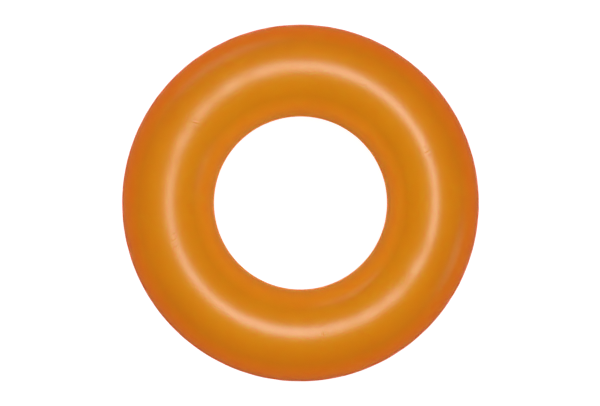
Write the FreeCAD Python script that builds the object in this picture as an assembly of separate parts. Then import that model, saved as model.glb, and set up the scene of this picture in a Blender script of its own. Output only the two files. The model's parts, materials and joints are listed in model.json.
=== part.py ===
"""Inflatable vinyl swim ring, blown up, lying flat.

Two annular sheets of soft vinyl are welded to each other along their outer and inner edges, and air
makes a round tube of them. The lower sheet has a hole with a push-in air valve: a flange welded to
the inside of the sheet, a soft boot that folds in and out, a stem with a bore, a one-way flap under
the bore, and a stopper on a strap that is held to the stem by a collar.

Frame: the ring's axis is Z and the floor is Z = 0, under the middle of the hole. The valve is on the
-Y side, low on the outside of the tube. Millimetres.
"""

import FreeCAD
import Part
import math
import os

V = FreeCAD.Vector

# --- Ring -----------------------------------------------------------------------------------------
OVERALL_DIAMETER = 760.0  # across the outer weld
HOLE_DIAMETER = 368.0  # across the inner weld
WELD_WIDTH = 2.5  # trimmed margin of the two sheets, outside and inside
FILM = 0.3  # vinyl sheet
REST_FLAT_WIDTH = 16.0  # how wide the soft tube flattens where it lies on the floor

TUBE_R = (OVERALL_DIAMETER - HOLE_DIAMETER) / 4 - WELD_WIDTH
RING_R = (OVERALL_DIAMETER + HOLE_DIAMETER) / 4
WELD_Z = math.sqrt(TUBE_R**2 - (REST_FLAT_WIDTH / 2) ** 2)  # the plane where the sheets meet

# --- Valve, in its own frame: w points out of the ring along the stem, w = 0 on the sheet ---------
VALVE_ANGLE = 55.0  # degrees from straight down, towards the outside of the tube
STEM_TRAVEL = 12.0  # how far the stem pushes in

FLANGE_R = 22.0
FLANGE_THICK = 0.8
SHEET_HOLE_R = 15.5

BOOT_R = 14.5
BOOT_WALL = 0.6
BOOT_TOP = STEM_TRAVEL / 2 + 1.0  # the last of its height stays as a lip round the pushed-in stem

STEM_R = 6.0
STEM_RIM = BOOT_TOP + 8.0
STEM_FOOT = -3.0
STEM_FOOT_R = 7.2
STEM_FOOT_THICK = 1.5
STEM_BEAD_R = 6.6
STEM_BEAD_THICK = 1.2
BORE_R = 4.0
BORE_MOUTH_R = 4.6
BORE_MOUTH_DEPTH = 4.0

COLLAR_R = 7.6
COLLAR_LOW = BOOT_TOP + 1.5
COLLAR_THICK = 2.0

HEAD_GAP = 0.1  # stopper's head over the stem's rim
HEAD_R = 6.5
HEAD_THICK = 2.0
SHANK_TOP_R = 4.2
SHANK_TIP_R = 3.2
SHANK_LENGTH = 6.0
TAB_REACH = 11.5
TAB_WIDTH = 6.0
TAB_THICK = 1.2
GRIP_RIBS = 3
GRIP_RIB_PITCH = 1.5
GRIP_RIB_SIZE = 0.5

STRAP_WIDTH = 5.0
STRAP_THICK = 0.9
STRAP_LOW = COLLAR_LOW + COLLAR_THICK / 2
STRAP_HIGH = STEM_RIM + HEAD_GAP + HEAD_THICK / 2
STRAP_LOOP_R = (STRAP_HIGH - STRAP_LOW) / 2
STRAP_LOOP_U = 9.5  # middle of the loop; the stopper swings about the loop's outermost line

FLAP_R = 5.2
FLAP_THICK = 0.5
FLAP_GAP = 0.05
FLAP_HINGE_U = -5.8
FLAP_NECK_WIDTH = 4.0
FLAP_NECK_GAP = 0.05  # between the neck's round end and its anchor
ANCHOR_REACH = 7.1


def revolved(edges):
    """The solid that a closed outline in the XZ plane sweeps about Z."""
    face = Part.Face(Part.Wire(Part.__sortEdges__(edges)))
    return face.revolve(V(0, 0, 0), V(0, 0, 1), 360)


def line(a, b):
    return Part.LineSegment(a, b).toShape()


def arc(a, middle, b):
    return Part.Arc(a, middle, b).toShape()


def polygon(points):
    """The straight edges of a closed outline through (x, z) points."""
    corners = [V(x, 0, z) for x, z in points]
    return [line(a, b) for a, b in zip(corners, corners[1:] + corners[:1])]


def tube_point(radius, height_sign, side):
    """A point of the tube's section: side -1 is the hole, 0 the crest and 1 the outside."""
    crest = height_sign * radius if side == 0 else 0.0
    return V(RING_R + side * radius, 0, WELD_Z + crest)


def weld_margin(side, height_sign):
    """The margin of one sheet beyond the tube, from the tube's outer face round to its inner face."""
    z_face = WELD_Z + height_sign * FILM
    x_root = RING_R + side * math.sqrt(TUBE_R**2 - FILM**2)
    x_trim = RING_R + side * (TUBE_R + WELD_WIDTH)
    outer = [V(x_root, 0, z_face), V(x_trim, 0, z_face), V(x_trim, 0, WELD_Z)]
    corners = outer + [tube_point(TUBE_R - FILM, height_sign, side)]
    return [line(a, b) for a, b in zip(corners, corners[1:])]


def film_face_ends(side, height_sign):
    """Where a sheet's outer face meets its margin."""
    x_root = RING_R + side * math.sqrt(TUBE_R**2 - FILM**2)
    return V(x_root, 0, WELD_Z + height_sign * FILM)


def top_film():
    """The upper sheet, half of the tube, with its two margins."""
    edges = weld_margin(1, 1) + weld_margin(-1, 1)
    edges.append(arc(film_face_ends(1, 1), tube_point(TUBE_R, 1, 0), film_face_ends(-1, 1)))
    inner = TUBE_R - FILM
    edges.append(arc(tube_point(inner, 1, 1), tube_point(inner, 1, 0), tube_point(inner, 1, -1)))
    return revolved(edges)


def flank(radius, low_z, side, start):
    """One side of the lower sheet's face, from the weld down to its flat, and the flat's edge."""
    half_flat = math.sqrt(radius**2 - (WELD_Z - low_z) ** 2)
    edge = V(RING_R + side * half_flat, 0, low_z)
    middle_angle = math.radians(45)
    middle = V(
        RING_R + side * radius * math.cos(middle_angle),
        0,
        WELD_Z - radius * math.sin(middle_angle),
    )
    return arc(start, middle, edge), edge


def bottom_film():
    """The lower sheet: flattened where it rests, and open at the valve."""
    edges = weld_margin(1, -1) + weld_margin(-1, -1)
    outer_flank, outer_edge = flank(TUBE_R, 0.0, 1, film_face_ends(1, -1))
    inner_flank, inner_edge = flank(TUBE_R, 0.0, -1, film_face_ends(-1, -1))
    edges += [outer_flank, inner_flank, line(outer_edge, inner_edge)]
    inside = TUBE_R - FILM
    outer_flank, outer_edge = flank(inside, FILM, 1, tube_point(inside, -1, 1))
    inner_flank, inner_edge = flank(inside, FILM, -1, tube_point(inside, -1, -1))
    edges += [outer_flank, inner_flank, line(outer_edge, inner_edge)]
    reach = 2 * FLANGE_R
    hole = Part.makeCylinder(SHEET_HOLE_R, 2 * reach, V(0, 0, -reach))
    return revolved(edges).cut(on_ring(hole))


def valve_frame():
    """Places valve coordinates (u, v, w) in the ring's frame."""
    angle = math.radians(VALVE_ANGLE)
    out = V(0, -math.sin(angle), -math.cos(angle))
    u = V(1, 0, 0)
    surface = V(0, -RING_R, WELD_Z) + out * TUBE_R
    return FreeCAD.Placement(surface, FreeCAD.Rotation(u, out.cross(u), out, "ZXY"))


def on_ring(shape):
    """A copy of a shape made in valve coordinates, moved to its place on the ring."""
    moved = shape.copy()
    moved.Placement = valve_frame().multiply(moved.Placement)
    return moved


def torus_inside(depth):
    """The space inside the tube that is deeper than depth under the sheet's outer face."""
    return Part.makeTorus(RING_R, TUBE_R - depth, V(0, 0, WELD_Z))


def disc(radius, low, high):
    return Part.makeCylinder(radius, high - low, V(0, 0, low))


def ring_disc(outer, inner, low, high):
    return disc(outer, low, high).cut(disc(inner, low, high))


def block(u_low, u_high, width, w_low, w_high):
    corner = V(u_low, -width / 2, w_low)
    return Part.makeBox(u_high - u_low, width, w_high - w_low, corner)


def valve_flange():
    """The disc welded to the inside of the sheet, curved as the sheet is."""
    reach = FLANGE_R / 2
    collar = on_ring(ring_disc(FLANGE_R, BOOT_R, -reach, reach))
    return collar.common(torus_inside(FILM)).cut(torus_inside(FILM + FLANGE_THICK))


def valve_boot():
    """The soft top hat between flange and stem. It folds inside out when the stem is pushed in."""
    wall = ring_disc(BOOT_R, BOOT_R - BOOT_WALL, -FLANGE_R / 2, BOOT_TOP)
    top = ring_disc(BOOT_R, STEM_R, BOOT_TOP - BOOT_WALL, BOOT_TOP)
    hat = on_ring(wall.fuse(top).removeSplitter())
    return hat.cut(torus_inside(FILM + FLANGE_THICK))


def valve_stem():
    """The tube that is blown into: a beaded rim, a tapered mouth and a foot that the flap shuts on."""
    mouth_z = STEM_RIM - BORE_MOUTH_DEPTH
    outline = [
        (BORE_R, STEM_FOOT),
        (STEM_FOOT_R, STEM_FOOT),
        (STEM_FOOT_R, STEM_FOOT + STEM_FOOT_THICK),
        (STEM_R, STEM_FOOT + STEM_FOOT_THICK),
        (STEM_R, STEM_RIM - STEM_BEAD_THICK),
        (STEM_BEAD_R, STEM_RIM - STEM_BEAD_THICK),
        (STEM_BEAD_R, STEM_RIM),
        (BORE_MOUTH_R, STEM_RIM),
        (BORE_R, mouth_z),
    ]
    return on_ring(revolved(polygon(outline)))


def strap_collar():
    """The ring round the stem that the strap grows from."""
    return on_ring(ring_disc(COLLAR_R, STEM_R, COLLAR_LOW, COLLAR_LOW + COLLAR_THICK))


def plug_strap():
    """The flat strap that loops from the collar up to the stopper's head."""
    middle_w = (STRAP_LOW + STRAP_HIGH) / 2
    outline = []
    for radius in (STRAP_LOOP_R - STRAP_THICK / 2, STRAP_LOOP_R + STRAP_THICK / 2):
        low = V(STRAP_LOOP_U, 0, middle_w - radius)
        high = V(STRAP_LOOP_U, 0, middle_w + radius)
        outline.append(arc(low, V(STRAP_LOOP_U + radius, 0, middle_w), high))
        outline.append(line(V(0, 0, low.z), low))
        outline.append(line(V(0, 0, high.z), high))
    half = STRAP_THICK / 2
    for w in (STRAP_LOW, STRAP_HIGH):
        outline.append(line(V(0, 0, w - half), V(0, 0, w + half)))
    face = Part.Face(Part.Wire(Part.__sortEdges__(outline)))
    face.translate(V(0, -STRAP_WIDTH / 2, 0))
    strip = face.extrude(V(0, STRAP_WIDTH, 0))
    strip = strip.cut(disc(COLLAR_R, STEM_FOOT, middle_w))
    return on_ring(strip.cut(disc(HEAD_R, middle_w, STEM_RIM + 2 * HEAD_THICK)))


def valve_plug():
    """The stopper: a tapered shank, a round head and a ribbed tab to pull it by."""
    head_low = STEM_RIM + HEAD_GAP
    head_high = head_low + HEAD_THICK
    outline = [
        (0, head_low - SHANK_LENGTH),
        (SHANK_TIP_R, head_low - SHANK_LENGTH),
        (SHANK_TOP_R, head_low),
        (HEAD_R, head_low),
        (HEAD_R, head_high),
        (0, head_high),
    ]
    plug = revolved(polygon(outline))
    tab_low = head_low + (HEAD_THICK - TAB_THICK) / 2
    tab_high = tab_low + TAB_THICK
    plug = plug.fuse(block(-TAB_REACH, -HEAD_R / 2, TAB_WIDTH, tab_low, tab_high))
    for i in range(GRIP_RIBS):
        u = -TAB_REACH + GRIP_RIB_PITCH * (i + 0.5)
        rib_high = tab_high + GRIP_RIB_SIZE
        plug = plug.fuse(block(u, u + GRIP_RIB_SIZE, TAB_WIDTH, tab_low, rib_high))
    return on_ring(plug.removeSplitter())


def check_flap():
    """The one-way disc under the bore, with the neck it bends at."""
    high = STEM_FOOT - FLAP_GAP
    low = high - FLAP_THICK
    neck = block(FLAP_HINGE_U, 0, FLAP_NECK_WIDTH, low, high)
    hinge_end = V(FLAP_HINGE_U, -FLAP_NECK_WIDTH / 2, (low + high) / 2)
    knuckle = Part.makeCylinder(FLAP_THICK / 2, FLAP_NECK_WIDTH, hinge_end, V(0, 1, 0))
    return on_ring(disc(FLAP_R, low, high).fuse([neck, knuckle]).removeSplitter())


def flap_anchor():
    """The foot of the flap's neck, welded to the stem's foot."""
    low = STEM_FOOT - FLAP_GAP - FLAP_THICK
    inner_end = FLAP_HINGE_U - FLAP_THICK / 2 - FLAP_NECK_GAP
    foot = block(-STEM_FOOT_R, inner_end, FLAP_NECK_WIDTH, low, STEM_FOOT)
    return on_ring(foot.common(disc(ANCHOR_REACH, low, STEM_FOOT)))


PARTS = [
    top_film,
    bottom_film,
    valve_flange,
    valve_boot,
    valve_stem,
    strap_collar,
    plug_strap,
    valve_plug,
    check_flap,
    flap_anchor,
]


def main():
    os.makedirs("parts", exist_ok=True)
    for build in PARTS:
        shape = build()
        solids = shape.Solids
        if len(solids) != 1 or not solids[0].isValid():
            raise RuntimeError(f"{build.__name__} gave {len(solids)} solids")
        solids[0].exportStep(f"parts/{build.__name__}.step")


main()
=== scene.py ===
"""The looks of an inflatable vinyl swim ring with a push-in air valve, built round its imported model.

The two sheets are rebuilt as thin skins, with the gathers that flat sheets get along their welds when air
makes a round tube of them, and the valve's pieces get their soft moulded forms. Everything is in metres, in
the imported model's frame: the ring's axis is Z, the floor is Z = 0 and the valve is on the -Y side.
"""

import json
import math

import bmesh
import bpy
import numpy as np
from mathutils import Matrix, Quaternion, Vector

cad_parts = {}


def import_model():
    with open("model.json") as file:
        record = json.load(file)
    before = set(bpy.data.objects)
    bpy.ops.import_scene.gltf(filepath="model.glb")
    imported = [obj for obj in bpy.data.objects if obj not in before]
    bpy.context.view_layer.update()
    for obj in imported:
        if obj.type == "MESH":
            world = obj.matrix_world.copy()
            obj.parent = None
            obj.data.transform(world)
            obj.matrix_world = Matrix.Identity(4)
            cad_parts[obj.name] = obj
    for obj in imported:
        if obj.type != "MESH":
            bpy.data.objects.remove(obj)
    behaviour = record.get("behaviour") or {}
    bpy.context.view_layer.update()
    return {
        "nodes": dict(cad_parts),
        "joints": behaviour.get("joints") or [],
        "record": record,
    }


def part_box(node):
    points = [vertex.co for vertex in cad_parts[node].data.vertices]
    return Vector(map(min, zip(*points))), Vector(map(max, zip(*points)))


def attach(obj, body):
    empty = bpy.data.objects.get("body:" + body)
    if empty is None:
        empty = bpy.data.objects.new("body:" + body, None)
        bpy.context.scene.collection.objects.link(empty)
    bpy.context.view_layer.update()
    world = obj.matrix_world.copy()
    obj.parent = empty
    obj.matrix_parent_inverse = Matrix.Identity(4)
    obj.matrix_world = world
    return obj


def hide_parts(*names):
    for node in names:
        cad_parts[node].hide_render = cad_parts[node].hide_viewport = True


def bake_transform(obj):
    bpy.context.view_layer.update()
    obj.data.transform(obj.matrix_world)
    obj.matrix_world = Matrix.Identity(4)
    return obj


MM = 0.001

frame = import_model()

# --- Ring: sizes from the frame -------------------------------------------------------------------
SHEET_LOW, SHEET_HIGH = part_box("top_film")
OUTER_R = SHEET_HIGH.x
WELD_Z = SHEET_LOW.z
TUBE_R = SHEET_HIGH.z - WELD_Z
WELD_WIDTH = 2.5 * MM
FILM = 0.3 * MM
RING_R = OUTER_R - WELD_WIDTH - TUBE_R
OUTER_WELD_R = RING_R + TUBE_R
INNER_WELD_R = RING_R - TUBE_R
ARC_LENGTH = math.pi * TUBE_R  # over one sheet from the outer weld to the inner one

AZIMUTHS = 880  # columns of the skin's mesh
FINEST_STEP = 0.9 * MM  # between the mesh's rows at a weld
COARSEST_STEP = 8 * MM  # and half way between the welds
STEP_GROWTH = 1.3
INSIDE_GROWTH = 1.5  # the inner side's rows are further apart
FLOOR_EASE = 0.5 * MM  # how softly the skin comes down to the floor
WELD_FADE = 22 * MM  # how far from a weld the swells have grown to their full height
SWELL = 0.22 * MM
MARGIN_WAVE = 0.35 * MM
WELD_RIBS = 1500  # round the ring
WEAR = (-0.06, 0.045, 0.0)  # how the film's roughness grows over the ring, for each metre

# The film's colours over the tube, which hold painted light: golden on the crest, partly a painted tint of
# the highlight there, redder on the outer side, and brighter at the welds, which is painted light for the
# glow through the film at the rims.
INNER_WELD_COLOUR_WITH_PAINTED_LIGHT = (0.9, 0.3, 0.01)
INNER_FLANK_COLOUR = (0.7, 0.25, 0.005)
CREST_COLOUR_WITH_PAINTED_HIGHLIGHT = (0.75, 0.3, 0.005)
OUTER_FLANK_COLOUR = (0.65, 0.2, 0.005)
OUTER_WELD_COLOUR_WITH_PAINTED_LIGHT = (0.8, 0.15, 0.002)

# Small creases that the upper sheet keeps from its packing. The first two columns are the azimuth in degrees
# and the distance from the axis, then come the heading in degrees, the length, the half width and the depth.
# A crease with a depth under 0 stands out.
CREASES = [
    (142.4, 277 * MM, -14, 20 * MM, 1.6 * MM, -0.17 * MM),
    (144.9, 294 * MM, 15, 7 * MM, 1.1 * MM, 0.12 * MM),
    (143.9, 296 * MM, 80, 8 * MM, 1.1 * MM, 0.12 * MM),
    (142.3, 300 * MM, 104, 15 * MM, 1.1 * MM, 0.18 * MM),
    (193.8, 271 * MM, 38, 12 * MM, 1.3 * MM, 0.17 * MM),
    (196.6, 275 * MM, 43, 17 * MM, 1.3 * MM, 0.21 * MM),
    (199.4, 274 * MM, 45, 13 * MM, 1.3 * MM, 0.17 * MM),
    (201.4, 273 * MM, 47, 10 * MM, 1.3 * MM, 0.11 * MM),
    (24.2, 286 * MM, 42, 12 * MM, 1.1 * MM, 0.15 * MM),
    (21.8, 286 * MM, 33, 18 * MM, 1.3 * MM, 0.21 * MM),
    (20.2, 288 * MM, 33, 12 * MM, 1.1 * MM, 0.16 * MM),
    (-80.2, 277 * MM, 84, 14 * MM, 1.0 * MM, 0.18 * MM),
    (-78.4, 277 * MM, 68, 12 * MM, 1.1 * MM, 0.12 * MM),
    (252.0, 292 * MM, 80, 9 * MM, 1.2 * MM, 0.14 * MM),
    (61.0, 281 * MM, 30, 9 * MM, 1.2 * MM, 0.14 * MM),
]

# --- Valve: w is out of the ring along the stem, and w = 0 is on the sheet ------------------------
PORT = next(m for m in frame["record"]["mounts"] if m["name"] == "inflation_port")
VALVE_OUT = Vector(PORT["axis"]).normalized()
VALVE_U = Vector((1, 0, 0))
VALVE_V = VALVE_OUT.cross(VALVE_U)
VALVE_ORIGIN = Vector((0, -RING_R, WELD_Z)) + VALVE_OUT * TUBE_R
STEM_RIM = (Vector(PORT["pos_m"]) - VALVE_ORIGIN).dot(VALVE_OUT)
STEM_TRAVEL = next(j for j in frame["joints"] if j["name"] == "stem_push")["range_m"][1]
STRAP_PIVOT = Vector(next(j for j in frame["joints"] if j["name"] == "plug_swing")["pos_m"])

SHEET_HOLE_R = 15.5 * MM
IMPRINT = 0.28 * MM  # depth of the weld that joins the flange to the sheet
IMPRINT_INNER_R = SHEET_HOLE_R + 1.2 * MM
IMPRINT_OUTER_R = SHEET_HOLE_R + 6.0 * MM
IMPRINT_EDGE = 0.8 * MM  # how wide the weld's soft edges are
BOOT_TOP = STEM_TRAVEL / 2 + 1.0 * MM
COLLAR_R = 7.6 * MM
COLLAR_LOW = BOOT_TOP + 1.5 * MM
COLLAR_HIGH = COLLAR_LOW + 2.0 * MM
HEAD_LOW = STEM_RIM + 0.1 * MM
HEAD_R = 6.5 * MM
HEAD_THICK = 2.0 * MM
HEAD_MIDDLE = HEAD_LOW + HEAD_THICK / 2
STRAP_LOW = (COLLAR_LOW + COLLAR_HIGH) / 2
STRAP_HIGH = HEAD_MIDDLE
STRAP_THICK = 0.9 * MM
STRAP_WIDTH = 5.0 * MM
STRAP_ROOT = 0.6 * MM  # how far the strap's ends go into the collar and the head
TAB_HALF_WIDTH = 3.0 * MM
TAB_THICK = 1.2 * MM


# --- Small tools ----------------------------------------------------------------------------------
def new_object(name, mesh):
    piece = bpy.data.objects.new(name, mesh)
    bpy.context.scene.collection.objects.link(piece)
    return piece


def smooth(piece, sharp_degrees=40):
    """Smooth shading, except at edges that turn by more than sharp_degrees."""
    piece.data.shade_smooth()
    piece.data.set_sharp_from_angle(angle=math.radians(sharp_degrees))


def mesh_from(name, points, faces):
    mesh = bpy.data.meshes.new(name)
    mesh.from_pydata([tuple(p) for p in points], [], faces)
    work = bmesh.new()
    work.from_mesh(mesh)
    bmesh.ops.remove_doubles(work, verts=work.verts, dist=1e-7)
    bmesh.ops.recalc_face_normals(work, faces=work.faces)
    work.to_mesh(mesh)
    work.free()
    return mesh


def apply_boolean(piece, other, operation):
    """Joins other to piece or cuts it away, and removes other."""
    change = piece.modifiers.new("boolean", "BOOLEAN")
    change.object = other
    change.operation = operation
    change.solver = "EXACT"
    bake_modifiers(piece)
    bpy.data.objects.remove(other)


def bake_modifiers(piece):
    graph = bpy.context.evaluated_depsgraph_get()
    result = bpy.data.meshes.new_from_object(piece.evaluated_get(graph))
    piece.modifiers.clear()
    piece.data = result


def on_valve(u, v, w):
    """A point given in the valve's frame, in the ring's frame."""
    return VALVE_ORIGIN + VALVE_U * u + VALVE_V * v + VALVE_OUT * w


def rounded(corners, steps=4):
    """A closed outline through (x, y, fillet radius) corners, with its corners rounded."""
    points = []
    count = len(corners)
    for i, (x, y, radius) in enumerate(corners):
        corner = Vector((x, y))
        before = (Vector(corners[i - 1][:2]) - corner).normalized()
        after = (Vector(corners[(i + 1) % count][:2]) - corner).normalized()
        half = before.angle(after, math.pi) / 2
        if radius <= 0 or half > math.radians(89):
            points.append(corner)
            continue
        cut = radius / math.tan(half)
        start = corner + before * cut
        end = corner + after * cut
        middle = corner + (before + after).normalized() * (radius / math.sin(half))
        first = start - middle
        last = end - middle
        turn = first.angle_signed(last)
        for k in range(steps + 1):
            spoke = first.copy()
            spoke.rotate(Matrix.Rotation(-turn * k / steps, 2))
            points.append(middle + spoke)
    return points


def lathe(name, outline, segments=96, follow=None):
    """Turns an outline of (radius, w) points about the stem. follow(w) is how far it goes with the sheet."""
    points = []
    for i in range(segments):
        angle = 2 * math.pi * i / segments
        for radius, w in outline:
            u = radius * math.cos(angle)
            v = radius * math.sin(angle)
            points.append(on_valve(u, v, w))
    if follow:
        places = np.array([tuple(point) for point in points])
        shares = np.array([follow(w) for _ in range(segments) for _, w in outline])
        points = places + np.outer(sheet_rise(places) * shares, VALVE_OUT)
    count = len(outline)
    faces = []
    for i in range(segments):
        j = (i + 1) % segments
        for k in range(count):
            n = (k + 1) % count
            faces.append((i * count + k, i * count + n, j * count + n, j * count + k))
    piece = new_object(name, mesh_from(name, points, faces))
    smooth(piece)
    return piece


def millimetres(corners):
    return [tuple(value * MM for value in corner) for corner in corners]


# --- Skin of the ring -----------------------------------------------------------------------------
def gathers(rng, count, depth, half_width, reach):
    """Folds that run off a weld: the azimuth, depth, half width and reach of each."""
    azimuth = (np.arange(count) + rng.uniform(-0.4, 0.4, count)) * 2 * math.pi / count
    return np.column_stack([
        azimuth,
        depth * rng.uniform(0.2, 1.0, count),
        half_width * rng.uniform(0.7, 1.4, count),
        reach * rng.uniform(0.5, 1.2, count),
    ])


def pulled_in(folds, weld_r, azimuth, away):
    """How far the folds of a weld pull the skin in, at a distance away from that weld."""
    total = np.zeros(np.broadcast(azimuth, away).shape)
    for where, depth, half_width, reach in folds:
        turn = (azimuth - where + math.pi) % (2 * math.pi) - math.pi
        run = away / reach
        across = turn * weld_r / (half_width * (1 + run))
        along = (0.15 + 5 * run) * np.exp(-2.2 * run)
        groove = np.exp(-(across**2)) - 0.4 * np.exp(-((np.abs(across) - 1.8) ** 2))
        total += depth * along * groove
    return total


def swells(rng, count):
    """Gentle waves over the skin: waves round the ring, slant over the sheet, phase and height of each."""
    waves = rng.integers(2, 26, count)
    height = SWELL * rng.uniform(0.4, 1.0, count) / np.sqrt(waves)
    return np.column_stack([waves, rng.uniform(-9, 9, count), rng.uniform(0, 2 * math.pi, count), height])


def swollen(waves, azimuth, arc):
    total = np.zeros(np.broadcast(azimuth, arc).shape)
    for turns, slant, phase, height in waves:
        total += height * np.cos(turns * azimuth + slant * arc / ARC_LENGTH + phase)
    near = np.minimum(arc, ARC_LENGTH - arc) / WELD_FADE
    return total * np.clip(near, 0, 1) ** 2


RNG = np.random.default_rng(7)
OUTER_FOLDS = np.vstack([
    gathers(RNG, 84, 0.6 * MM, 8.0 * MM, 12 * MM),
    gathers(RNG, 40, 1.4 * MM, 12.0 * MM, 28 * MM),
])
INNER_FOLDS = np.vstack([
    gathers(RNG, 40, 0.3 * MM, 8.0 * MM, 12 * MM),
    gathers(RNG, 20, 0.6 * MM, 12.0 * MM, 26 * MM),
])
SWELLS = {1: swells(RNG, 30), -1: swells(RNG, 30)}
MARGIN_WAVES = swells(RNG, 24)
MARGIN_WAVES[:, 0] = RNG.integers(20, 110, 24)


def tube_radius(side, azimuth, arc):
    """The tube's own radius at a place on the upper (1) or lower (-1) sheet."""
    folds = pulled_in(OUTER_FOLDS, OUTER_WELD_R, azimuth, arc)
    folds = folds + pulled_in(INNER_FOLDS, INNER_WELD_R, azimuth, ARC_LENGTH - arc)
    return TUBE_R - folds + swollen(SWELLS[side], azimuth, arc)


def skin(side, azimuth, arc, depth):
    """Radius and height of the skin at a place on a sheet, at a depth under its outer face."""
    tilt = math.pi / 2 - arc / TUBE_R
    radius = tube_radius(side, azimuth, arc) - depth
    r = RING_R + radius * np.sin(tilt)
    z = WELD_Z + side * radius * np.cos(tilt)
    floor = depth if side < 0 else 0.0
    above = z - floor
    eased = (above + np.sqrt(above**2 + FLOOR_EASE**2)) / 2
    return r, np.where(z < 4 * FLOOR_EASE + TUBE_R / 4, floor + eased, z)


def margin(side, azimuth, out, height, edge):
    """A row of the trimmed margin beyond a weld: edge 1 is the outer weld and -1 the one at the hole."""
    arc = np.array(0.0 if edge > 0 else ARC_LENGTH)
    r, _ = skin(side, azimuth, arc, 0.0)
    wave = sum(h * np.cos(n * azimuth + p) for n, _, p, h in MARGIN_WAVES)
    z = WELD_Z + wave * out / WELD_WIDTH * MARGIN_WAVE / SWELL + height
    return r + edge * out, z


def stations(coarsest, growth):
    """Distances over a sheet from weld to weld, close together at the welds and wide apart between."""
    steps = [FILM]
    step = FINEST_STEP
    while step < coarsest:
        steps.append(step)
        step *= growth
    near = np.cumsum(steps)
    middle = ARC_LENGTH - 2 * near[-1]
    count = math.ceil(middle / coarsest)
    between = near[-1] + middle * np.arange(1, count) / count
    return np.concatenate([near, between, ARC_LENGTH - near[::-1]])


def sheet_mesh(name, side):
    """One sheet as a thin closed skin with both its margins."""
    azimuth = np.arange(AZIMUTHS) * 2 * math.pi / AZIMUTHS
    face = side * FILM
    rows = [margin(side, azimuth, WELD_WIDTH * t, face, 1) for t in (1, 0.6, 0.2)]
    rows += [skin(side, azimuth, np.array(arc), 0.0) for arc in stations(COARSEST_STEP, STEP_GROWTH)]
    rows += [margin(side, azimuth, WELD_WIDTH * t, face, -1) for t in (0.2, 0.6, 1)]
    rows += [margin(side, azimuth, WELD_WIDTH * t, 0.0, -1) for t in (1, 0.4)]
    inside = stations(3 * COARSEST_STEP, INSIDE_GROWTH)[1:-1][::-1]
    inside = np.concatenate([[ARC_LENGTH], inside, [0.0]])
    rows += [skin(side, azimuth, np.array(arc), FILM) for arc in inside]
    rows += [margin(side, azimuth, WELD_WIDTH * t, 0.0, 1) for t in (0.4, 1)]
    points = []
    for r, z in rows:
        points.append(np.column_stack([r * np.cos(azimuth), r * np.sin(azimuth), z]))
    count = len(rows)
    faces = []
    for k in range(count):
        n = (k + 1) % count
        for i in range(AZIMUTHS):
            j = (i + 1) % AZIMUTHS
            faces.append((k * AZIMUTHS + i, n * AZIMUTHS + i, n * AZIMUTHS + j, k * AZIMUTHS + j))
    return mesh_from(name, np.vstack(points), faces)


def creased(x, y):
    """How deep the upper sheet's small creases are at a place seen from above."""
    total = np.zeros(x.shape)
    for azimuth, from_axis, heading, length, half_width, depth in CREASES:
        middle_x = from_axis * math.cos(math.radians(azimuth))
        middle_y = from_axis * math.sin(math.radians(azimuth))
        cos, sin = math.cos(math.radians(heading)), math.sin(math.radians(heading))
        along = (x - middle_x) * cos + (y - middle_y) * sin
        across = (y - middle_y) * cos - (x - middle_x) * sin
        run = np.clip(1 - (2 * along / length) ** 2, 0, 1)
        offset = np.abs(across) / half_width
        ridge = np.exp(-(offset**2)) - 0.5 * np.exp(-((offset - 2) ** 2))
        total += depth * run * ridge
    return total


def valve_imprint(distance):
    """How deep the weld of the valve's flange presses the sheet in, at a distance from the stem's line."""
    inward = np.clip((distance - IMPRINT_INNER_R) / IMPRINT_EDGE, 0, 1)
    outward = np.clip((IMPRINT_OUTER_R - distance) / IMPRINT_EDGE, 0, 1)
    rise = inward * outward
    return IMPRINT * rise * rise * (3 - 2 * rise)


def faces_round(work, centre, outward, reach):
    """Faces of a sheet's outer side whose middles are within reach of a place on it."""
    return [
        face for face in work.faces
        if (face.calc_center_median() - centre).length < reach and face.normal.dot(outward) > 0
    ]


def refine_round(work, centre, outward, reach):
    """Finer mesh on a sheet's outer side round a place. Returns the vertices there."""
    for longest, cuts in ((4 * MM, 2), (0.0, 3)):
        edges = {edge for face in faces_round(work, centre, outward, reach) for edge in face.edges}
        edges = [edge for edge in edges if edge.calc_length() > longest]
        bmesh.ops.subdivide_edges(work, edges=edges, cuts=cuts, use_grid_fill=True)
        work.normal_update()
    faces = faces_round(work, centre, outward, reach + 1.5 * COARSEST_STEP)
    return list({vert for face in faces for vert in face.verts})


def lay_back(verts, side, depth):
    """Puts vertices back on a sheet's skin, at a depth under it that is worked out from their places."""
    place = np.array([vert.co for vert in verts])
    azimuth = np.arctan2(place[:, 1], place[:, 0])
    tilt = np.arctan2(np.hypot(place[:, 0], place[:, 1]) - RING_R, side * (place[:, 2] - WELD_Z))
    r, z = skin(side, azimuth, (math.pi / 2 - tilt) * TUBE_R, depth(place))
    for vert, point in zip(verts, np.column_stack([r * np.cos(azimuth), r * np.sin(azimuth), z])):
        vert.co = point


def imprint_depth(place):
    offset = place - np.array(VALVE_ORIGIN)
    return valve_imprint(np.hypot(offset @ np.array(VALVE_U), offset @ np.array(VALVE_V)))


def crease_depth(place):
    return creased(place[:, 0], place[:, 1])


def crease_places():
    """Middles of the groups of creases, each crease more than 20 mm from the last starting a new group."""
    places = []
    for azimuth, from_axis, *_ in CREASES:
        turn = math.radians(azimuth)
        height = math.sqrt(TUBE_R**2 - (from_axis - RING_R) ** 2)
        place = Vector((from_axis * math.cos(turn), from_axis * math.sin(turn), WELD_Z + height))
        if not places or (place - places[-1]).length > 20 * MM:
            places.append(place)
    return places


def upper_sheet():
    mesh = sheet_mesh("upper_sheet", 1)
    work = bmesh.new()
    work.from_mesh(mesh)
    for place in crease_places():
        lay_back(refine_round(work, place, Vector((0, 0, 1)), 14 * MM), 1, crease_depth)
    work.to_mesh(mesh)
    work.free()
    piece = new_object("upper_sheet", mesh)
    smooth(piece)
    return piece


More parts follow.
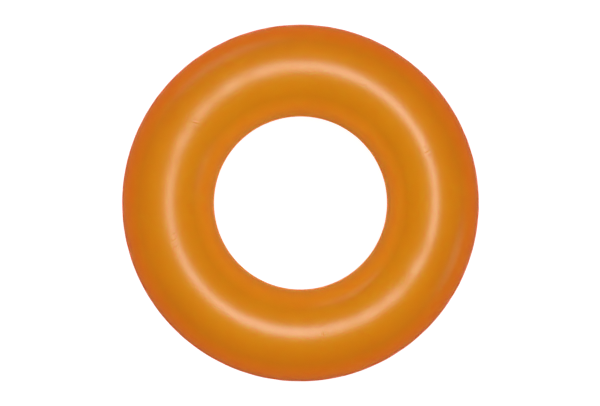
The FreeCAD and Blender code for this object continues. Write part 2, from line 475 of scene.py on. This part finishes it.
def refine_round_valve(mesh):
    """Finer mesh round the valve, with the flange's weld pressed into it."""
    work = bmesh.new()
    work.from_mesh(mesh)
    lay_back(refine_round(work, VALVE_ORIGIN, VALVE_OUT, SHEET_HOLE_R + 12 * MM), -1, imprint_depth)
    work.to_mesh(mesh)
    work.free()


def lower_sheet():
    mesh = sheet_mesh("lower_sheet", -1)
    refine_round_valve(mesh)
    piece = new_object("lower_sheet", mesh)
    low, high = -8 * MM, 8 * MM
    cutter = lathe("hole_cutter", [(0, low), (SHEET_HOLE_R, low), (SHEET_HOLE_R, high), (0, high)])
    apply_boolean(piece, cutter, "DIFFERENCE")
    smooth(piece)
    return piece


# --- Valve ----------------------------------------------------------------------------------------
def sheet_rise(places):
    """How far the sheet's outer face is from the plane that touches it at the valve, at each place."""
    offset = places - np.array(VALVE_ORIGIN)
    u = offset @ np.array(VALVE_U)
    v = offset @ np.array(VALVE_V)
    rise = -(u * u + v * v) / (2 * TUBE_R)
    for _ in range(4):
        point = np.outer(u, VALVE_U) + np.outer(v, VALVE_V) + np.outer(rise, VALVE_OUT)
        point += np.array(VALVE_ORIGIN)
        azimuth = np.arctan2(point[:, 1], point[:, 0])
        out = np.hypot(point[:, 0], point[:, 1]) - RING_R
        down = WELD_Z - point[:, 2]
        arc = (math.pi / 2 - np.arctan2(out, down)) * TUBE_R
        rise += tube_radius(-1, azimuth, arc) - imprint_depth(point) - np.hypot(out, down)
    return rise


def flange():
    """The disc inside the ring that the sheet is welded to. It shows as a narrow rim in the sheet's hole."""
    outline = rounded(millimetres([
        (14.5, -1.15, 0.2),
        (22.0, -1.15, 0.35),
        (22.0, -0.32, 0.2),
        (15.7, -0.32, 0.0),
        (14.5, -0.32, 0.2),
    ]))
    return lathe("flange", outline, 128, lambda w: 1.0)


def boot():
    """The soft top hat, built in one shape, though the real one folds inside out: a flared foot, a thin wall
    and a grooved top.
    """
    outline = rounded(millimetres([
        (15.3, -1.3, 0.2),
        (15.3, -0.4, 0.3),
        (14.3, 0.3, 0.9),
        (13.9, 6.95, 1.1),
        (10.6, 6.95, 0.4),
        (10.2, 6.7, 0.4),
        (9.4, 6.7, 0.4),
        (9.0, 6.95, 0.4),
        (6.9, 6.95, 0.6),
        (6.05, 7.9, 0.15),
        (6.05, 6.2, 0.1),
        (13.1, 6.2, 0.8),
        (13.6, 0.0, 0.6),
        (13.6, -1.3, 0.2),
    ]))

    def follow(w):
        share = min(max((1.5 * MM - w) / (1.8 * MM), 0.0), 1.0)
        return share * share * (3 - 2 * share)

    return lathe("boot", outline, 128, follow)


def stem():
    """The tube that is blown into, with a beaded rim and a foot."""
    return lathe("stem", rounded(millimetres([
        (4.0, -3.0, 0.3),
        (7.2, -3.0, 0.4),
        (7.2, -1.5, 0.5),
        (6.0, -1.5, 0.4),
        (6.0, 13.8, 0.35),
        (6.6, 13.8, 0.35),
        (6.6, 15.0, 0.5),
        (4.6, 15.0, 0.4),
        (4.0, 11.0, 2.0),
    ])))


def collar():
    """The ring that holds the strap to the stem."""
    bore = 6.03 * MM
    return lathe("collar", rounded([
        (bore, COLLAR_LOW, 0.1 * MM),
        (COLLAR_R, COLLAR_LOW, 0.55 * MM),
        (COLLAR_R, COLLAR_HIGH, 0.55 * MM),
        (bore, COLLAR_HIGH, 0.1 * MM),
    ]))


def strap_route():
    """Middle line of the strap as (u, w, heading) stations, out from the collar and back to the head."""
    loop_r = (STRAP_HIGH - STRAP_LOW) / 2
    loop_u = (STRAP_PIVOT - VALVE_ORIGIN).dot(VALVE_U) - loop_r
    loop_w = (STRAP_LOW + STRAP_HIGH) / 2
    collar_end = COLLAR_R - STRAP_ROOT
    head_end = HEAD_R - STRAP_ROOT
    route = [(collar_end + (loop_u - collar_end) * k / 6, STRAP_LOW, 0.0) for k in range(6)]
    for k in range(25):
        turn = k / 24 * math.pi
        route.append((loop_u + loop_r * math.sin(turn), loop_w - loop_r * math.cos(turn), turn))
    route += [(loop_u + (head_end - loop_u) * k / 6, STRAP_HIGH, math.pi) for k in range(1, 7)]
    return route


def strap():
    """The flat strap, a little wider and thicker where it grows from the collar and the head."""
    route = strap_route()
    corner = 0.3 * MM
    corner_steps = 3
    points = []
    last = len(route) - 1
    for i, (u, w, heading) in enumerate(route):
        near_end = max(0.0, 1 - min(i, last - i) / 5) ** 2
        half = STRAP_WIDTH / 2 * (1 + 0.35 * near_end)
        thick = STRAP_THICK / 2 * (1 + 0.25 * near_end)
        section = rounded([
            (-half, -thick, corner),
            (half, -thick, corner),
            (half, thick, corner),
            (-half, thick, corner),
        ], corner_steps)
        for across, up in section:
            points.append(on_valve(u - up * math.sin(heading), across, w + up * math.cos(heading)))
    count = 4 * (corner_steps + 1)
    faces = []
    for i in range(last):
        for k in range(count):
            n = (k + 1) % count
            faces.append((i * count + k, i * count + n, (i + 1) * count + n, (i + 1) * count + k))
    faces.append(tuple(range(count)))
    faces.append(tuple(last * count + k for k in range(count)))
    piece = new_object("strap", mesh_from("strap", points, faces))
    smooth(piece)
    return piece


def tab(name, outline, w_low, w_high, edge):
    """A flat plate with an outline of (u, v) points and softened edges."""
    levels = [(w_low, edge), (w_low + edge * 0.3, edge * 0.3), (w_low + edge, 0.0)]
    levels += [(w_high - edge, 0.0), (w_high - edge * 0.3, edge * 0.3), (w_high, edge)]
    centre = sum((Vector(p) for p in outline), Vector((0, 0))) / len(outline)
    points = []
    for w, inset in levels:
        for p in outline:
            away = Vector(p) - centre
            point = centre + away * (1 - inset / away.length)
            points.append(on_valve(point.x, point.y, w))
    count = len(outline)
    top = (len(levels) - 1) * count
    faces = [tuple(range(count)), tuple(range(top, top + count))]
    for low in range(0, top, count):
        high = low + count
        for k in range(count):
            n = (k + 1) % count
            faces.append((low + k, low + n, high + n, high + k))
    return new_object(name, mesh_from(name, points, faces))


def plug():
    """The stopper: a tapered shank with a bead, a dished head and a ribbed pull tab."""
    piece = lathe("plug", rounded(millimetres([
        (0.0, 9.1, 0),
        (3.2, 9.1, 0.8),
        (3.38, 10.4, 0.2),
        (3.6, 10.7, 0.2),
        (3.5, 11.0, 0.2),
        (4.1, 14.6, 0.3),
        (4.2, 15.1, 0.1),
        (6.5, 15.1, 0.5),
        (6.5, 17.1, 0.7),
        (5.0, 17.1, 0.3),
        (4.6, 16.8, 0.3),
        (0.0, 16.8, 0),
    ])))
    outline = rounded([
        (-11.5 * MM, -TAB_HALF_WIDTH, 2.4 * MM),
        (-4.0 * MM, -TAB_HALF_WIDTH, 0),
        (-4.0 * MM, TAB_HALF_WIDTH, 0),
        (-11.5 * MM, TAB_HALF_WIDTH, 2.4 * MM),
    ], 8)
    plate = tab("tab", outline, HEAD_MIDDLE - TAB_THICK / 2, HEAD_MIDDLE + TAB_THICK / 2, 0.35 * MM)
    apply_boolean(piece, plate, "UNION")
    for u in (-10.5, -9.0, -7.5):
        outline = rounded(millimetres([
            (u, -2.2, 0.24),
            (u + 0.5, -2.2, 0.24),
            (u + 0.5, 2.2, 0.24),
            (u, 2.2, 0.24),
        ]))
        rib = tab("rib", outline, HEAD_MIDDLE, HEAD_MIDDLE + 1.0 * MM, 0.15 * MM)
        apply_boolean(piece, rib, "UNION")
    smooth(piece, 50)
    return piece


# --- Materials ------------------------------------------------------------------------------------
def node_maker(material):
    """A function that adds a shader node with given settings and returns it."""
    tree = material.node_tree

    def add(kind, inputs=None, **settings):
        node = tree.nodes.new(kind)
        for name, value in settings.items():
            setattr(node, name, value)
        for name, value in (inputs or {}).items():
            if isinstance(value, bpy.types.NodeSocket):
                tree.links.new(value, node.inputs[name])
            else:
                node.inputs[name].default_value = value
        return node

    return add


def new_material(name):
    material = bpy.data.materials.new(name)
    material.use_nodes = True
    material.node_tree.nodes.clear()
    return material, node_maker(material)


def ramp(add, value, stops):
    """A colour ramp through (position, colour) stops."""
    node = add("ShaderNodeValToRGB", {"Fac": value})
    band = node.color_ramp
    while len(band.elements) < len(stops):
        band.elements.new(0.5)
    for element, (position, colour) in zip(band.elements, stops):
        element.position = position
        element.color = (*colour, 1)
    return node.outputs["Color"]


def weld_ribs(add, place, from_axis):
    """Fine ribs that the welding bar leaves across both margins, 0 between the margins."""
    xyz = add("ShaderNodeSeparateXYZ", {"Vector": place}).outputs
    azimuth = add("ShaderNodeMath", {0: xyz["Y"], 1: xyz["X"]}, operation="ARCTAN2").outputs[0]
    turns = add("ShaderNodeMath", {0: azimuth, 1: float(WELD_RIBS)}, operation="MULTIPLY").outputs[0]
    wave = add("ShaderNodeMath", {0: turns}, operation="SINE").outputs[0]
    offset = add("ShaderNodeMath", {0: from_axis, 1: RING_R}, operation="SUBTRACT").outputs[0]
    offset = add("ShaderNodeMath", {0: offset}, operation="ABSOLUTE").outputs[0]
    margins = add("ShaderNodeMath", {0: offset, 1: TUBE_R + 0.2 * MM}, operation="GREATER_THAN").outputs[0]
    return add("ShaderNodeMath", {0: wave, 1: margins}, operation="MULTIPLY").outputs[0]


def crinkles(add, place):
    """Fine crinkles in scattered patches of the film, as heights from 0 to 1."""
    patches = add("ShaderNodeTexNoise", {"Vector": place, "Scale": 9.0, "Detail": 1.0}).outputs["Fac"]
    patches = add("ShaderNodeMapRange", {
        "Value": patches,
        "From Min": 0.48,
        "From Max": 0.62,
    }).outputs["Result"]
    fine = add("ShaderNodeTexNoise", {"Vector": place, "Scale": 240.0, "Detail": 2.0}).outputs["Fac"]
    return add("ShaderNodeMath", {0: fine, 1: patches}, operation="MULTIPLY").outputs[0]


def ring_vinyl():
    """Frosted orange film with ribbed weld margins. Its colour holds painted light: golden over the crest,
    partly a painted tint of the highlight, and redder and brighter towards the welds, the brightness being
    painted light for the glow through the film.
    """
    material, add = new_material("ring_vinyl")
    place = add("ShaderNodeTexCoord").outputs["Object"]
    flat = add("ShaderNodeVectorMath", {0: place, 1: (1, 1, 0)}, operation="MULTIPLY").outputs["Vector"]
    from_axis = add("ShaderNodeVectorMath", {0: flat}, operation="LENGTH").outputs["Value"]
    across = add("ShaderNodeMapRange", {
        "Value": from_axis,
        "From Min": INNER_WELD_R,
        "From Max": OUTER_WELD_R,
    }).outputs["Result"]
    # Painted light: the colour across the tube is brighter at both welds for the glow through the film, and
    # golden on the crest partly as a painted tint of the highlight.
    colour = ramp(add, across, [
        (0.0, INNER_WELD_COLOUR_WITH_PAINTED_LIGHT),
        (0.2, INNER_FLANK_COLOUR),
        (0.5, CREST_COLOUR_WITH_PAINTED_HIGHLIGHT),
        (0.8, OUTER_FLANK_COLOUR),
        (1.0, OUTER_WELD_COLOUR_WITH_PAINTED_LIGHT),
    ])
    mottle = add("ShaderNodeTexNoise", {"Vector": place, "Scale": 14.0, "Detail": 3.0}).outputs["Fac"]
    shade = ramp(add, mottle, [(0.3, (0.98, 0.97, 0.97)), (0.7, (1.01, 1.02, 1.02))])
    # A Mix node's colours are its inputs 6 and 7 and its output 2.
    colour = add(
        "ShaderNodeMix", {"Factor": 1.0, 6: colour, 7: shade}, data_type="RGBA", blend_type="MULTIPLY"
    ).outputs[2]
    rough = add("ShaderNodeTexNoise", {"Vector": place, "Scale": 35.0, "Detail": 4.0}).outputs["Fac"]
    rough = add("ShaderNodeMapRange", {"Value": rough, "To Min": 0.29, "To Max": 0.34}).outputs["Result"]
    wear = add("ShaderNodeVectorMath", {0: place, 1: WEAR}, operation="DOT_PRODUCT").outputs["Value"]
    rough = add("ShaderNodeMath", {0: rough, 1: wear}, operation="ADD").outputs[0]
    frost = add("ShaderNodeTexNoise", {"Vector": place, "Scale": 1500.0, "Detail": 2.0}).outputs["Fac"]
    frost = add("ShaderNodeBump", {"Height": frost, "Strength": 0.25, "Distance": 0.05 * MM})
    crinkled = add("ShaderNodeBump", {
        "Height": crinkles(add, place),
        "Strength": 1.0,
        "Distance": 0.22 * MM,
        "Normal": frost.outputs["Normal"],
    })
    bump = add("ShaderNodeBump", {
        "Height": weld_ribs(add, place, from_axis),
        "Strength": 0.5,
        "Distance": 0.1 * MM,
        "Normal": crinkled.outputs["Normal"],
    })
    shader = add("ShaderNodeBsdfPrincipled", {
        "Base Color": colour,
        "Roughness": rough,
        "IOR": 1.45,
        "Specular IOR Level": 0.55,
        "Sheen Weight": 0.15,
        "Sheen Roughness": 0.45,
        "Sheen Tint": (1.0, 0.66, 0.40, 1.0),
        "Subsurface Weight": 1.0,
        "Subsurface Radius": (1.0, 0.4, 0.15),
        "Subsurface Scale": 0.5 * MM,
        "Normal": bump.outputs["Normal"],
    })
    add("ShaderNodeOutputMaterial", {"Surface": shader.outputs["BSDF"]})
    return material


def valve_vinyl():
    """Milky soft vinyl, slightly yellowed, with the dull grain of its mould."""
    material, add = new_material("valve_vinyl")
    place = add("ShaderNodeTexCoord").outputs["Object"]
    cloud = add("ShaderNodeTexNoise", {"Vector": place, "Scale": 180.0, "Detail": 3.0}).outputs["Fac"]
    colour = ramp(add, cloud, [(0.25, (0.70, 0.69, 0.63)), (0.75, (0.80, 0.79, 0.74))])
    grain = add("ShaderNodeTexNoise", {"Vector": place, "Scale": 2500.0, "Detail": 2.0}).outputs["Fac"]
    rough = add("ShaderNodeMapRange", {"Value": grain, "To Min": 0.3, "To Max": 0.42}).outputs["Result"]
    bump = add("ShaderNodeBump", {"Height": grain, "Strength": 0.2, "Distance": 0.03 * MM})
    shader = add("ShaderNodeBsdfPrincipled", {
        "Base Color": colour,
        "Roughness": rough,
        "IOR": 1.5,
        "Subsurface Weight": 0.6,
        "Subsurface Radius": (1.0, 0.9, 0.75),
        "Subsurface Scale": 2 * MM,
        "Normal": bump.outputs["Normal"],
    })
    add("ShaderNodeOutputMaterial", {"Surface": shader.outputs["BSDF"]})
    return material


def floor_white():
    material, add = new_material("floor_white")
    shader = add("ShaderNodeBsdfPrincipled", {
        "Base Color": (0.2, 0.2, 0.2, 1),
        "Roughness": 0.8,
        "Specular IOR Level": 0.1,
        "Emission Color": (1, 1, 1, 1),
        "Emission Strength": 0.92,
    })
    add("ShaderNodeOutputMaterial", {"Surface": shader.outputs["BSDF"]})
    return material


# --- Stage ----------------------------------------------------------------------------------------
CAMERA_HEIGHT = 5.0
RING_SHARE_OF_WIDTH = 0.5945  # how much of the picture's width the ring takes
SENSOR = 36.0


def camera():
    """Straight above the ring, with a long lens."""
    data = bpy.data.cameras.new("camera")
    view = bpy.data.objects.new("camera", data)
    bpy.context.scene.collection.objects.link(view)
    view.location = (-1.0 * MM, 0.0, CAMERA_HEIGHT)
    data.sensor_width = SENSOR
    width = 2 * OUTER_R / RING_SHARE_OF_WIDTH
    data.lens = SENSOR * (CAMERA_HEIGHT - WELD_Z) / width
    data.clip_end = 60
    bpy.context.scene.camera = view


def soft_light(name, place, sizes, power, turn=0.0, shines=True):
    """An oval soft light aimed at the ring, turned about its own line by turn degrees.

    One that doesn't shine lights the film but leaves no gloss on it.
    """
    data = bpy.data.lights.new(name, "AREA")
    data.shape = "ELLIPSE"
    data.size, data.size_y = sizes
    data.energy = power
    lamp = bpy.data.objects.new(name, data)
    bpy.context.scene.collection.objects.link(lamp)
    lamp.location = place
    aim = (Vector((0, 0, WELD_Z)) - Vector(place)).to_track_quat("-Z", "Y")
    lamp.rotation_euler = (aim @ Quaternion((0, 0, 1), math.radians(turn))).to_euler()
    lamp.visible_glossy = shines


def world():
    backdrop = bpy.data.worlds.new("studio")
    bpy.context.scene.world = backdrop
    backdrop.use_nodes = True
    backdrop.node_tree.nodes["Background"].inputs["Color"].default_value = (1, 1, 1, 1)
    backdrop.node_tree.nodes["Background"].inputs["Strength"].default_value = 0.5
    backdrop.cycles_visibility.glossy = False


def studio():
    """A pale floor and plain soft light."""
    mesh = bpy.data.meshes.new("floor")
    mesh.from_pydata([(-9, -9, 0), (9, -9, 0), (9, 9, 0), (-9, 9, 0)], [], [(0, 1, 2, 3)])
    mesh.materials.append(floor_white())
    floor = new_object("floor", mesh)
    floor.visible_glossy = False
    soft_light("overhead", (0.65, 2.0, 12.0), (6.3, 3.6), 665, turn=-46)
    soft_light("front_fill", (-1.0, -7.0, 9.0), (5.0, 5.0), 130, shines=False)
    soft_light("back_window", (-4.0, 7.0, 1.0), (6.0, 2.6), 50)
    soft_light("side_window", (7.5, -2.6, 1.4), (3.4, 3.4), 26)
    world()
    bpy.context.scene.view_settings.view_transform = "Standard"


# --- Pieces on their bodies -----------------------------------------------------------------------
def place_piece(piece, material, slot, *nodes):
    """Gives a piece its material and puts it in the place of its CAD nodes."""
    piece.data.materials.clear()
    piece.data.materials.append(material)
    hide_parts(*nodes)


def build():
    film = ring_vinyl()
    milky = valve_vinyl()
    top = upper_sheet()
    low = lower_sheet()
    place_piece(top, film, "ring_vinyl", "top_film")
    place_piece(low, film, "ring_vinyl", "bottom_film")
    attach(top, "ring")
    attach(low, "ring")
    flange_piece = flange()
    place_piece(flange_piece, milky, "valve_vinyl", "valve_flange")
    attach(flange_piece, "ring")
    boot_piece = boot()
    place_piece(boot_piece, milky, "valve_vinyl", "valve_boot")
    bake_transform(boot_piece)
    stem_piece = stem()
    place_piece(stem_piece, milky, "valve_vinyl", "valve_stem")
    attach(stem_piece, "stem")
    collar_piece = collar()
    place_piece(collar_piece, milky, "valve_vinyl", "strap_collar")
    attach(collar_piece, "stem")
    strap_piece = strap()
    place_piece(strap_piece, milky, "valve_vinyl", "plug_strap")
    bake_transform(strap_piece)
    plug_piece = plug()
    place_piece(plug_piece, milky, "valve_vinyl", "valve_plug")
    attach(plug_piece, "plug")
    for name in ("check_flap", "flap_anchor"):
        node = frame["nodes"][name]
        for material_slot in node.material_slots:
            material_slot.material = milky


build()
studio()
camera()
